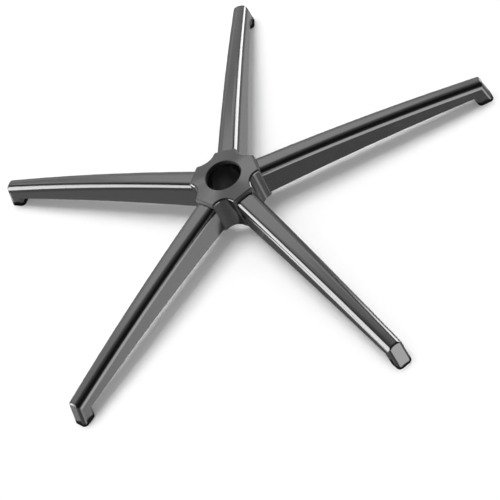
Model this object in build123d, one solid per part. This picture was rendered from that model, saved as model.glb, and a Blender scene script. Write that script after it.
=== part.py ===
from build123d import *
from math import atan, cos, degrees, radians, sin, sqrt, tan
import os

# Five-star swivel chair base, cast in one piece.
# The origin is on the hub axis at the mouth of the column bore, +Z is up and one leg lies along +X.
# Sizes are in millimetres and degrees. A reach is measured outwards from the hub axis, a drop is
# measured down from the bore mouth, and a crown is the height of an arc over its chord.

LEG_COUNT = 5

# Column bore: a lead-in, a straight land, then the taper that grips the column
COLUMN_RADIUS = 24.4
COLUMN_CLEARANCE = 0.1
BORE_LEAD_IN = 0.8
BORE_LAND = 24.0
BORE_TAPER = 0.75

# Hub: five short stubs with hollows between them
HUB_REACH = 46.5
HUB_SHOULDER_DROP = 3.2
HUB_DROP = 55.2
HUB_EDGE_RADIUS = 3.0
STUB_CORNER_RADIUS = 3.5
SCALLOP_REACH = 58.0
SCALLOP_RADIUS = 18.2
SLEEVE_WALL = 6.0
HUB_WALL = 4.0
HUB_WEB = 4.0
HUB_POCKET_DROP = 14.0

# Legs: crowned along the top, hollowed from below
LEG_TIP_REACH = 355.5
LEG_WIDTH_AT_HUB = 30.3
LEG_WIDTH_AT_TIP = 21.6
LEG_TOP_DROP_AT_HUB = 8.3
LEG_TOP_DROP_AT_TIP = 42.4
LEG_TOP_TIP_SLOPE = 9.0
LEG_SIDE_DROP_AT_HUB = 51.0
LEG_SIDE_DROP_AT_HEEL = 61.3
LEG_SIDE_CROWN = 3.3
LEG_EDGE_RADIUS = 9.5
LEG_WALL = 4.0

# Ribs: a zigzag of thin webs across each channel
RIB_THICKNESS = 3.0
RIB_PITCH = 48.0
RIB_SETBACK = 7.0

# Feet: leaning posts at the tips, each with a socket for a caster stem
FOOT_DROP = 79.5
FOOT_LENGTH = 22.0
FOOT_LEAN = 12.5
FOOT_CORNER_RADIUS = 6.5
FOOT_CORNER_BLEND = 0.08
HEEL_CORNER_RADIUS = 6.0
NOSE_EDGE_RADIUS = 3.0
STEM_RADIUS = 5.5
STEM_CLEARANCE = 0.1
SOCKET_REACH = 350.0
SOCKET_DEPTH = 26.0
SOCKET_LEAD_IN = 0.8

BORE_RADIUS = COLUMN_RADIUS + COLUMN_CLEARANCE
SLEEVE_RADIUS = BORE_RADIUS + SLEEVE_WALL
SOCKET_RADIUS = STEM_RADIUS + STEM_CLEARANCE

# The round along a leg leaves a flat strip at least this share of the leg's width at its tip
LEAST_FLAT = 0.1
EDGE_RADIUS = min(LEG_EDGE_RADIUS, (1 - LEAST_FLAT) * LEG_WIDTH_AT_TIP / 2)

# Room that a cutting or trimming shape is given past the surface it works on
SPARE = 25.0

# Least size of a unit vector's part along an axis for a face or an edge to count as pointing that way
MOSTLY = 0.7


def half_width(reach):
    """Half the width of a leg, which narrows evenly from the hub to its tip."""
    share = (reach - HUB_REACH) / (LEG_TIP_REACH - HUB_REACH)
    return (LEG_WIDTH_AT_HUB + share * (LEG_WIDTH_AT_TIP - LEG_WIDTH_AT_HUB)) / 2


def nose_reach(drop):
    """Reach of the leaning front of a foot at a given drop."""
    return LEG_TIP_REACH + (drop - LEG_TOP_DROP_AT_TIP) * tan(radians(FOOT_LEAN))


def heel_reach(drop):
    """Reach of the inner wall of a foot, parallel to its front."""
    return nose_reach(drop) - FOOT_LENGTH


def under_line(raised):
    """Arched line along the lower edge of a leg, from the heel of the foot to the hub."""
    arch = SagittaArc(
        (HUB_REACH, -LEG_SIDE_DROP_AT_HUB + raised),
        (heel_reach(LEG_SIDE_DROP_AT_HEEL), -LEG_SIDE_DROP_AT_HEEL + raised),
        LEG_SIDE_CROWN,
    )
    into_hub = Line(arch @ 0 - (arch % 0) * (HUB_REACH - BORE_RADIUS), arch @ 0)
    return into_hub + arch


def upright(outline):
    """Thick plate, square to the ground, with the given outline in the middle plane of a leg."""
    return extrude(make_face(Plane.XZ * outline), LEG_WIDTH_AT_HUB, both=True)


def top_line(inset):
    """Line along the top of a leg: straight over the foot, crowned up to the hub and straight into it."""
    tip = Vector(LEG_TIP_REACH, -LEG_TOP_DROP_AT_TIP - inset)
    inwards = Vector(-cos(radians(LEG_TOP_TIP_SLOPE)), sin(radians(LEG_TOP_TIP_SLOPE)))
    over_foot = Line(tip - inwards * 2 * SPARE, tip + inwards * FOOT_LENGTH)
    root = (HUB_REACH + HUB_EDGE_RADIUS, -LEG_TOP_DROP_AT_HUB - inset)
    crown = TangentArc(over_foot @ 1, root, tangent=inwards)
    into_hub = Line(crown @ 1, crown @ 1 + (crown % 1) * HUB_REACH)
    return over_foot + crown + into_hub


def leg_half(inset):
    """Half of a leg's block, set in from its side and its top.

    It is built square to its own side and then turned, so that its upper edge rounds to a plain torus.
    """
    top = top_line(inset)
    start = top @ 0
    end = top @ 1
    floor = -FOOT_DROP - SPARE
    below = Polyline(end, (end.X, floor), (start.X, floor), start)
    plate = extrude(make_face(Plane.XZ * (top + below)), LEG_WIDTH_AT_HUB, dir=(0, -1, 0))
    slope = (LEG_WIDTH_AT_HUB - LEG_WIDTH_AT_TIP) / 2 / (LEG_TIP_REACH - HUB_REACH)
    turn = Rot(0, 0, -degrees(atan(slope)))
    turned = Pos(HUB_REACH, half_width(HUB_REACH) - inset) * turn * Pos(-HUB_REACH, 0) * plate
    return split(turned, Plane.XZ, keep=Keep.BOTTOM)


def both_halves(half):
    """A half on the +Y side of a leg, together with its mirror image."""
    return half + mirror(half, Plane.XZ)


def long_edge(half):
    """The edges in line along the top of a half's outer side."""
    side = half.faces().filter_by(lambda face: face.normal_at().Y > MOSTLY)
    along = side.edges().filter_by(lambda edge: abs((edge % 0.5).X) > MOSTLY)
    return along.filter_by(lambda edge: edge.center().Z > -FOOT_DROP)


def soften_nose(half):
    """Round the edge of a half's nose, apart from its foot and the middle of the leg."""
    nose = half.faces().filter_by(lambda face: face.normal_at().X > MOSTLY)
    above_foot = nose.edges().sort_by(Axis.Z)[1:]
    return fillet(above_foot.sort_by(Axis.Y)[1:], NOSE_EDGE_RADIUS)


def nose_corners():
    """Waste outside the two leaning corners of a nose, which each cross the faces beside them."""
    lean = radians(FOOT_LEAN)
    across = (cos(lean), 0, sin(lean))
    down = (sin(lean), 0, -cos(lean))
    half = half_width(LEG_TIP_REACH - FOOT_CORNER_RADIUS) + FOOT_CORNER_BLEND
    block = Pos(SPARE - FOOT_CORNER_RADIUS, 0) * Rectangle(2 * SPARE, 4 * half)
    nose = Pos(FOOT_CORNER_BLEND - 2 * SPARE, 0) * RectangleRounded(4 * SPARE, 2 * half, FOOT_CORNER_RADIUS)
    square_to_nose = Plane((nose_reach(0), 0, 0), x_dir=across, z_dir=down)
    return extrude(square_to_nose * (block - nose), 2 * FOOT_DROP)


def round_heel(half):
    """Round the upright corner on the inner side of a half's foot."""
    beyond_hub = half.faces().filter_by(lambda face: face.center().X > HUB_REACH)
    heel = beyond_hub.filter_by(lambda face: face.normal_at().X < -MOSTLY)
    upright_edges = heel.edges().filter_by(lambda edge: abs((edge % 0.5).Z) > MOSTLY)
    return fillet(upright_edges.sort_by(Axis.Y)[-1], HEEL_CORNER_RADIUS)


def leg_body():
    """Solid leg and foot, before the channel and the socket."""
    under = under_line(0)
    rest = Polyline(
        under @ 1,
        (heel_reach(FOOT_DROP), -FOOT_DROP),
        (nose_reach(FOOT_DROP), -FOOT_DROP),
        (nose_reach(0), 0),
        ((under @ 0).X, 0),
        under @ 0,
    )
    half = leg_half(0)
    half = fillet(long_edge(half), EDGE_RADIUS) & upright(under + rest)
    half = soften_nose(half) - nose_corners()
    return both_halves(round_heel(half))


def channel_waste():
    """Material taken out below a leg to leave its walls, its top skin and a zigzag of ribs."""
    floor = -FOOT_DROP - SPARE
    before_heel = Polyline(
        (BORE_RADIUS, floor),
        (heel_reach(-floor), floor),
        (heel_reach(0), 0),
        (BORE_RADIUS, 0),
        close=True,
    )
    half = leg_half(LEG_WALL)
    even_wall = (EDGE_RADIUS - LEG_WALL) * (2 - sqrt(2))
    half = chamfer(long_edge(half), even_wall) & upright(before_heel)
    sleeve = extrude(Circle(SLEEVE_RADIUS), floor)
    return both_halves(half) - ribs() - sleeve


def ribs():
    """Zigzag of thin webs across a channel, stopping short of its lower edge."""
    length = heel_reach(LEG_SIDE_DROP_AT_HEEL) - HUB_REACH
    count = int(length / RIB_PITCH)
    pitch = length / count
    webs = Sketch()
    for index in range(count):
        start = HUB_REACH + index * pitch
        side = 1 if index % 2 else -1
        run = Line(
            (start, -side * half_width(start)),
            (start + pitch, side * half_width(start + pitch)),
        )
        webs += trace(run, RIB_THICKNESS)
    under = under_line(RIB_SETBACK)
    above = Polyline(under @ 1, ((under @ 1).X, 0), ((under @ 0).X, 0), under @ 0)
    return extrude(webs, -FOOT_DROP) & upright(under + above)


def socket():
    """Blind hole for a caster stem, with a lead-in at its mouth."""
    mouth = SOCKET_RADIUS + SOCKET_LEAD_IN
    outline = Polyline(
        (0, 0),
        (mouth, 0),
        (SOCKET_RADIUS, SOCKET_LEAD_IN),
        (SOCKET_RADIUS, SOCKET_DEPTH),
        (0, SOCKET_DEPTH),
        close=True,
    )
    hole = revolve(make_face(Plane.XZ * outline), Axis.Z)
    return Pos(SOCKET_REACH, 0, -FOOT_DROP) * hole


def round_hub(shape, turn):
    """Copies of a shape, one for each leg, turned from the legs by a share of the angle between two."""
    step = 360 / LEG_COUNT
    return [Rot(0, 0, (index + turn) * step) * shape for index in range(LEG_COUNT)]


def hub_body():
    """Solid hub: a block with scalloped corners under a shallow cone."""
    step = 180 / LEG_COUNT
    plan = Rot(0, 0, step) * RegularPolygon(HUB_REACH, LEG_COUNT, major_radius=False)
    plan -= round_hub(Pos(SCALLOP_REACH, 0) * Circle(SCALLOP_RADIUS), 0.5)
    plan = fillet(plan.vertices(), STUB_CORNER_RADIUS)
    slope = (BORE_LEAD_IN + HUB_SHOULDER_DROP) / (HUB_REACH - BORE_RADIUS)
    edge = HUB_REACH + SPARE
    section = Polyline(
        (0, -HUB_DROP),
        (edge, -HUB_DROP),
        (edge, BORE_LEAD_IN - slope * (edge - BORE_RADIUS)),
        (BORE_RADIUS, BORE_LEAD_IN),
        (0, BORE_LEAD_IN),
        close=True,
    )
    cone = revolve(make_face(Plane.XZ * section), Axis.Z)
    block = Pos(0, 0, -HUB_DROP) * extrude(plan, HUB_DROP + SPARE)
    body = block & cone
    slopes = body.faces().filter_by(GeomType.CONE)
    rim = slopes.edges().filter_by(lambda edge: edge.center().Z < 0)
    return fillet(rim, HUB_EDGE_RADIUS)


def hub_waste():
    """Pocket round the sleeve, open below, with a web across it between each two legs."""
    pocket = Circle(HUB_REACH - HUB_WALL) - Circle(SLEEVE_RADIUS)
    pocket -= round_hub(Pos(SCALLOP_REACH, 0) * Circle(SCALLOP_RADIUS + HUB_WALL), 0.5)
    waist = SCALLOP_REACH - SCALLOP_RADIUS
    pocket -= round_hub(Pos(waist / 2, 0) * Rectangle(waist, HUB_WEB), 0.5)
    depth = HUB_DROP - HUB_POCKET_DROP
    return Pos(0, 0, -HUB_DROP) * extrude(pocket, depth)


def bore():
    """Column bore: lead-in, straight land and taper."""
    mouth = BORE_RADIUS + BORE_LEAD_IN
    foot = BORE_RADIUS - (HUB_DROP - BORE_LAND) * tan(radians(BORE_TAPER))
    outline = Polyline(
        (0, BORE_LEAD_IN),
        (mouth, BORE_LEAD_IN),
        (BORE_RADIUS, 0),
        (BORE_RADIUS, -BORE_LAND),
        (foot, -HUB_DROP),
        (0, -HUB_DROP),
        close=True,
    )
    return revolve(make_face(Plane.XZ * outline), Axis.Z)


def casting():
    """The whole base: hub and legs, hollowed from below, then bored."""
    base = hub_body() + round_hub(leg_body(), 0)
    base -= round_hub(channel_waste(), 0)
    base -= hub_waste()
    base -= round_hub(socket(), 0)
    return base - bore()


base = casting()
os.makedirs("parts", exist_ok=True)
export_step(base, "parts/base_casting.step")
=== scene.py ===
from math import cos, pi, radians, sin, tan

import bpy
from mathutils import Matrix, Vector


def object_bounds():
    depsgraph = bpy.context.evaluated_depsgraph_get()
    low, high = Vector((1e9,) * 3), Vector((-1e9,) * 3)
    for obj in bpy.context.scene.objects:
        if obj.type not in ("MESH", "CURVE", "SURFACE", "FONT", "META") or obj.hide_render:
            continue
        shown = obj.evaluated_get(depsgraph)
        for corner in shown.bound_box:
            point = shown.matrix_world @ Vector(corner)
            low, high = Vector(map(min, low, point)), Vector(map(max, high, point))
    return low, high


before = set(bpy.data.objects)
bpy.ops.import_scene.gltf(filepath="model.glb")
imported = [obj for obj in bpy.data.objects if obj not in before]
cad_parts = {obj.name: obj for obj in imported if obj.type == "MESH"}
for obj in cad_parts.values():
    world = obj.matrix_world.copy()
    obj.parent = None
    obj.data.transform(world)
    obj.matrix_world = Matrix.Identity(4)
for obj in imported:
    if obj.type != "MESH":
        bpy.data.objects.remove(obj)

# Gloss black star base of a swivel chair on a white floor. Lengths are in metres and angles in degrees.
CAD_BOX = [list(corner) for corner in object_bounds()]
FLOOR_HEIGHT = CAD_BOX[0][2]
LEG_COUNT = 5
UP = (0.0, 0.0, 1.0)
WHITE = (1.0, 1.0, 1.0, 1.0)

# Paint: a slightly uneven film, and a fine orange peel on it
PAINT_IOR = 1.5
PAINT_DARK = (0.0022, 0.0022, 0.0024, 1.0)
PAINT_LIGHT = (0.0050, 0.0050, 0.0054, 1.0)
FILM_SCALE = 60.0
FILM_DETAIL = 4.0
FILM_SMOOTHEST = 0.13
FILM_ROUGHEST = 0.19
PEEL_SCALE = 900.0
PEEL_DETAIL = 2.0
PEEL_STRENGTH = 0.05
PEEL_DEPTH = 0.0002

# Hub rims: the strips where the legs start, by reach from the hub's axis and above a height,
# and the ring round the bore, by distance from the middle of its mouth. The paint is dull there.
HUB_RIM_START = 0.0438
HUB_RIM_END = 0.0472
HUB_RIM_FOOT = -0.0084
HUB_RIM_BLEND = 0.0004
HUB_RIM_ROUGHNESS = 0.7
BORE_MOUTH = 0.0252

# Camera: where it looks, and how it stands to that point
CAMERA_AIM = (-0.0057, -0.1208, -0.0200)
CAMERA_DISTANCE = 2.3685
CAMERA_AZIMUTH = 5.27
CAMERA_ELEVATION = 47.59
CAMERA_ROLL = -29.15
CAMERA_LENS = 134.69
CAMERA_SENSOR = 36.0

# Floor: large and white, with a little light of its own to the camera
FLOOR_SIZE = 24.0
FLOOR_LIFT = 0.085
FLOOR_GREYS = (0.94, 0.96)
MATT_ROUGHNESS = 0.9
MATT_SCALE = 3.0
MATT_DETAIL = 2.0

# Painted shadow on the floor, which only the gloss shows: a grey disc below the hub, which the hub's real
# shadow darkens further, and a near-black disc under each foot
HUB_SHADOW_RADIUS = 0.060
HUB_SHADOW_GREYS = (0.36, 0.42)
FOOT_SHADOW_RADIUS = 0.018
FOOT_SHADOW_GREYS = (0.02, 0.04)
FOOT_REACH = 0.3525
PATCH_SIDES = 48

# World as the gloss shows it: pale low down, dark high up, and dimmer round one direction
PALE_BELOW = 8.0
DARK_ABOVE = 30.0
PALE_LEVEL = 0.8
DARK_LEVEL = 0.04
DIM_AZIMUTH = 120.0
DIM_ELEVATION = -48.0
DIM_CORE = 12.0
DIM_EDGE = 42.0
DIM_LEVEL = 0.2

# Lights, far enough away that each leg sees them in the same direction. Each has the azimuth and
# elevation of its middle, its width and height as angles seen from the hub, and its brightness.
LIGHT_DISTANCE = 8.0
LAMPS = {
    "key": (112.0, 80.0, 28.0, 28.0, 8.0),
    "fill": (90.0, 90.0, 100.0, 100.0, 0.55),
}
PANELS = {
    "back_panel": (90.0, 53.0, 62.0, 36.0, 2.2),
    "back_low_panel": (90.0, 25.0, 70.0, 28.0, 1.6),
    "back_core": (90.0, 51.0, 36.0, 22.0, 1.9),
    "back_left_panel": (138.0, 50.0, 30.0, 26.0, 0.6),
    "over_panel": (90.0, 82.0, 60.0, 24.0, 0.9),
    "front_over_panel": (-90.0, 77.0, 60.0, 18.0, 0.25),
    "right_panel": (32.0, 11.5, 23.0, 33.0, 15.0),
    "left_panel": (180.0, 22.0, 46.0, 32.0, 15.0),
    "left_low_panel": (166.0, -7.0, 32.0, 26.0, 12.0),
    "left_under_panel": (157.0, -30.0, 13.0, 20.0, 5.0),
    "front_glow": (-62.0, -18.0, 71.0, 45.0, 6.6),
    "front_low_glow": (-30.0, -49.0, 14.0, 16.0, 2.0),
}


def direction(azimuth, elevation):
    """Unit vector at an azimuth from +X towards +Y and an elevation above the horizon."""
    level = cos(radians(elevation))
    return Vector((level * cos(radians(azimuth)), level * sin(radians(azimuth)), sin(radians(elevation))))


def leg_direction(leg):
    """Unit vector from the hub's axis along a leg, counted from zero."""
    return direction(leg * 360.0 / LEG_COUNT, 0.0)


def new_material(name):
    """Node material with its node tree and its shader."""
    material = bpy.data.materials.new(name)
    material.use_nodes = True
    tree = material.node_tree
    return material, tree, tree.nodes["Principled BSDF"]


def object_place(tree):
    """Node output of the place in the object's own coordinates."""
    return tree.nodes.new("ShaderNodeTexCoord").outputs["Object"]


def noise(tree, place, scale, detail):
    """Node output of a cloudy pattern."""
    clouds = tree.nodes.new("ShaderNodeTexNoise")
    clouds.inputs["Scale"].default_value = scale
    clouds.inputs["Detail"].default_value = detail
    tree.links.new(place, clouds.inputs["Vector"])
    return clouds.outputs["Fac"]


def ramp(tree, value, low, high):
    """Node output of a colour that runs from one colour to another with a value."""
    colour = tree.nodes.new("ShaderNodeValToRGB")
    colour.color_ramp.elements[0].color = low
    colour.color_ramp.elements[1].color = high
    tree.links.new(value, colour.inputs["Fac"])
    return colour.outputs["Color"]


def soft_step(tree, value, start, end, low, high):
    """Node output that eases from one level to another while a value runs between two limits."""
    step = tree.nodes.new("ShaderNodeMapRange")
    step.interpolation_type = "SMOOTHSTEP"
    step.inputs["From Min"].default_value = start
    step.inputs["From Max"].default_value = end
    step.inputs["To Min"].default_value = low
    step.inputs["To Max"].default_value = high
    tree.links.new(value, step.inputs["Value"])
    return step.outputs["Result"]


def maths(tree, operation, first, second):
    """Node output of a calculation with two other outputs."""
    node = tree.nodes.new("ShaderNodeMath")
    node.operation = operation
    tree.links.new(first, node.inputs[0])
    tree.links.new(second, node.inputs[1])
    return node.outputs["Value"]


def along(tree, place, way):
    """Node output of how far a place lies in a direction."""
    node = tree.nodes.new("ShaderNodeVectorMath")
    node.operation = "DOT_PRODUCT"
    node.inputs[1].default_value = way
    tree.links.new(place, node.inputs[0])
    return node.outputs["Value"]


def distance(tree, place):
    """Node output of how far a place lies from the origin, the middle of the bore's mouth."""
    node = tree.nodes.new("ShaderNodeVectorMath")
    node.operation = "LENGTH"
    tree.links.new(place, node.inputs[0])
    return node.outputs["Value"]


def leg_start(tree, place):
    """Node output of the dullness of the strips where the legs start, and zero elsewhere."""
    reach = along(tree, place, leg_direction(0))
    for leg in range(1, LEG_COUNT):
        reach = maths(tree, "MAXIMUM", reach, along(tree, place, leg_direction(leg)))
    height = along(tree, place, UP)
    inner = soft_step(tree, reach, HUB_RIM_START, HUB_RIM_START + HUB_RIM_BLEND, 0.0, HUB_RIM_ROUGHNESS)
    outer = soft_step(tree, reach, HUB_RIM_END, HUB_RIM_END + HUB_RIM_BLEND, 1.0, 0.0)
    above = soft_step(tree, height, HUB_RIM_FOOT - HUB_RIM_BLEND, HUB_RIM_FOOT, 0.0, 1.0)
    return maths(tree, "MULTIPLY", maths(tree, "MULTIPLY", inner, outer), above)


def bore_mouth(tree, place):
    """Node output of the dullness round the bore's mouth, and zero elsewhere."""
    mouth_end = BORE_MOUTH + HUB_RIM_BLEND
    return soft_step(tree, distance(tree, place), BORE_MOUTH, mouth_end, HUB_RIM_ROUGHNESS, 0.0)


def gloss_paint():
    """Gloss black paint over cast metal, dull at the hub's rims."""
    material, tree, shader = new_material("gloss_black_paint")
    shader.inputs["IOR"].default_value = PAINT_IOR
    place = object_place(tree)

    clouds = noise(tree, place, FILM_SCALE, FILM_DETAIL)
    tree.links.new(ramp(tree, clouds, PAINT_DARK, PAINT_LIGHT), shader.inputs["Base Color"])

    film = tree.nodes.new("ShaderNodeMapRange")
    film.inputs["To Min"].default_value = FILM_SMOOTHEST
    film.inputs["To Max"].default_value = FILM_ROUGHEST
    tree.links.new(clouds, film.inputs["Value"])
    rims = maths(tree, "MAXIMUM", leg_start(tree, place), bore_mouth(tree, place))
    roughness = maths(tree, "MAXIMUM", film.outputs["Result"], rims)
    tree.links.new(roughness, shader.inputs["Roughness"])

    peel = tree.nodes.new("ShaderNodeBump")
    peel.inputs["Strength"].default_value = PEEL_STRENGTH
    peel.inputs["Distance"].default_value = PEEL_DEPTH
    tree.links.new(noise(tree, place, PEEL_SCALE, PEEL_DETAIL), peel.inputs["Height"])
    tree.links.new(peel.outputs["Normal"], shader.inputs["Normal"])
    return material


def matt_grey(name, greys):
    """Matt grey between two levels with a faint unevenness, with its node tree and its shader."""
    material, tree, shader = new_material(name)
    shader.inputs["Roughness"].default_value = MATT_ROUGHNESS
    shader.inputs["Specular IOR Level"].default_value = 0.0
    low, high = greys
    clouds = noise(tree, object_place(tree), MATT_SCALE, MATT_DETAIL)
    colour = ramp(tree, clouds, (low, low, low, 1.0), (high, high, high, 1.0))
    tree.links.new(colour, shader.inputs["Base Color"])
    return material, tree, shader


def floor_paint():
    """White floor, lifted a little to the camera so that it shows as plain white, and clear from below."""
    material, tree, shader = matt_grey("white_floor", FLOOR_GREYS)
    rays = tree.nodes.new("ShaderNodeLightPath")
    shader.inputs["Emission Color"].default_value = (FLOOR_LIFT, FLOOR_LIFT, FLOOR_LIFT, 1.0)
    tree.links.new(rays.outputs["Is Camera Ray"], shader.inputs["Emission Strength"])

    side = tree.nodes.new("ShaderNodeNewGeometry")
    clear = tree.nodes.new("ShaderNodeBsdfTransparent")
    mix = tree.nodes.new("ShaderNodeMixShader")
    tree.links.new(side.outputs["Backfacing"], mix.inputs["Fac"])
    tree.links.new(shader.outputs["BSDF"], mix.inputs[1])
    tree.links.new(clear.outputs["BSDF"], mix.inputs[2])
    tree.links.new(mix.outputs["Shader"], tree.nodes["Material Output"].inputs["Surface"])
    return material


def add_floor():
    """Square floor that the feet stand on. The paint mirrors the studio, not the floor."""
    half = FLOOR_SIZE / 2
    mesh = bpy.data.meshes.new("floor")
    corners = [(-half, -half, 0), (half, -half, 0), (half, half, 0), (-half, half, 0)]
    mesh.from_pydata(corners, [], [(0, 1, 2, 3)])
    mesh.materials.append(floor_paint())
    floor = bpy.data.objects.new("floor", mesh)
    floor.location.z = FLOOR_HEIGHT
    floor.visible_glossy = False
    floor.visible_shadow = False
    bpy.context.collection.objects.link(floor)


def add_painted_shadow_patch(name, centre, radius, paint):
    """Disc of painted shadow on the floor that only the gloss shows."""
    mesh = bpy.data.meshes.new(name)
    turns = [radians(360.0 * step / PATCH_SIDES) for step in range(PATCH_SIDES)]
    rim = [(radius * cos(turn), radius * sin(turn), 0.0) for turn in turns]
    mesh.from_pydata(rim, [], [tuple(range(PATCH_SIDES))])
    mesh.materials.append(paint)
    disc = bpy.data.objects.new(name, mesh)
    disc.location = (centre.x, centre.y, FLOOR_HEIGHT)
    disc.visible_camera = False
    disc.visible_diffuse = False
    disc.visible_shadow = False
    bpy.context.collection.objects.link(disc)


def add_painted_shadow_patches():
    """Painted shadow for the gloss: a grey disc below the hub, which the hub's real shadow darkens further,
    and a near-black disc of deep shadow under each foot.
    """
    # The grey disc below the hub is painted shade that only the gloss shows.
    dim = matt_grey("painted_shadow_below_hub", HUB_SHADOW_GREYS)[0]
    # The near-black discs under the feet are painted contact shadow that only the gloss shows.
    dark = matt_grey("painted_shadow_below_foot", FOOT_SHADOW_GREYS)[0]
    add_painted_shadow_patch("hub_shadow_patch", Vector((0.0, 0.0, 0.0)), HUB_SHADOW_RADIUS, dim)
    for leg in range(LEG_COUNT):
        add_painted_shadow_patch(f"foot_shadow_patch_{leg + 1}", leg_direction(leg) * FOOT_REACH, FOOT_SHADOW_RADIUS, dark)


def add_softbox(name, azimuth, elevation, wide, high, brightness):
    """Rectangular light that faces the hub and fills the given angles as seen from there."""
    lamp = bpy.data.lights.new(name, "AREA")
    lamp.shape = "RECTANGLE"
    lamp.size = 2 * LIGHT_DISTANCE * tan(radians(wide / 2))
    lamp.size_y = 2 * LIGHT_DISTANCE * tan(radians(high / 2))
    lamp.energy = brightness * pi * lamp.size * lamp.size_y
    outwards = direction(azimuth, elevation)
    box = bpy.data.objects.new(name, lamp)
    box.location = outwards * LIGHT_DISTANCE
    box.rotation_euler = outwards.to_track_quat("Z", "Y").to_euler()
    box.visible_camera = False
    bpy.context.collection.objects.link(box)
    return box


def add_lights():
    """Soft key light and overhead fill that the gloss doesn't show, and panels that only the gloss shows."""
    for name, light in LAMPS.items():
        lamp = add_softbox(name, *light)
        lamp.visible_glossy = False
    for name, light in PANELS.items():
        panel = add_softbox(name, *light)
        panel.visible_diffuse = False


def add_world():
    """World that is white to the camera, and otherwise pale low down, dark high up and dim in one place."""
    world = bpy.data.worlds.new("studio")
    world.use_nodes = True
    tree = world.node_tree
    tree.nodes.clear()
    white = tree.nodes.new("ShaderNodeBackground")
    white.inputs["Color"].default_value = WHITE

    way = tree.nodes.new("ShaderNodeTexCoord").outputs["Generated"]
    height = along(tree, way, UP)
    pale_end = sin(radians(PALE_BELOW))
    dark_start = sin(radians(DARK_ABOVE))
    level = soft_step(tree, height, pale_end, dark_start, PALE_LEVEL, DARK_LEVEL)
    towards = along(tree, way, direction(DIM_AZIMUTH, DIM_ELEVATION))
    dimming = soft_step(tree, towards, cos(radians(DIM_EDGE)), cos(radians(DIM_CORE)), 1.0, DIM_LEVEL)

    studio = tree.nodes.new("ShaderNodeBackground")
    studio.inputs["Color"].default_value = WHITE
    tree.links.new(maths(tree, "MULTIPLY", level, dimming), studio.inputs["Strength"])
    rays = tree.nodes.new("ShaderNodeLightPath")
    mix = tree.nodes.new("ShaderNodeMixShader")
    output = tree.nodes.new("ShaderNodeOutputWorld")
    tree.links.new(rays.outputs["Is Camera Ray"], mix.inputs["Fac"])
    tree.links.new(studio.outputs["Background"], mix.inputs[1])
    tree.links.new(white.outputs["Background"], mix.inputs[2])
    tree.links.new(mix.outputs["Shader"], output.inputs["Surface"])
    bpy.context.scene.world = world


def add_camera():
    """Camera at the photograph's place, turned about its own axis as the photograph is."""
    data = bpy.data.cameras.new("camera")
    data.lens = CAMERA_LENS
    data.sensor_width = CAMERA_SENSOR
    camera = bpy.data.objects.new("camera", data)
    back = direction(CAMERA_AZIMUTH - 90.0, CAMERA_ELEVATION)
    level = Vector(UP).cross(back).normalized()
    upright = back.cross(level)
    turned = Matrix((level, upright, back)).transposed() @ Matrix.Rotation(radians(CAMERA_ROLL), 3, "Z")
    place = Vector(CAMERA_AIM) + back * CAMERA_DISTANCE
    camera.matrix_world = Matrix.Translation(place) @ turned.to_4x4()
    bpy.context.collection.objects.link(camera)
    bpy.context.scene.camera = camera


def dress_casting():
    """Paint the casting all over."""
    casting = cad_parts["base_casting"]
    casting.data.materials.clear()
    casting.data.materials.append(gloss_paint())


dress_casting()
add_floor()
add_painted_shadow_patches()
add_world()
add_lights()
add_camera()
bpy.context.scene.view_settings.view_transform = "Standard"
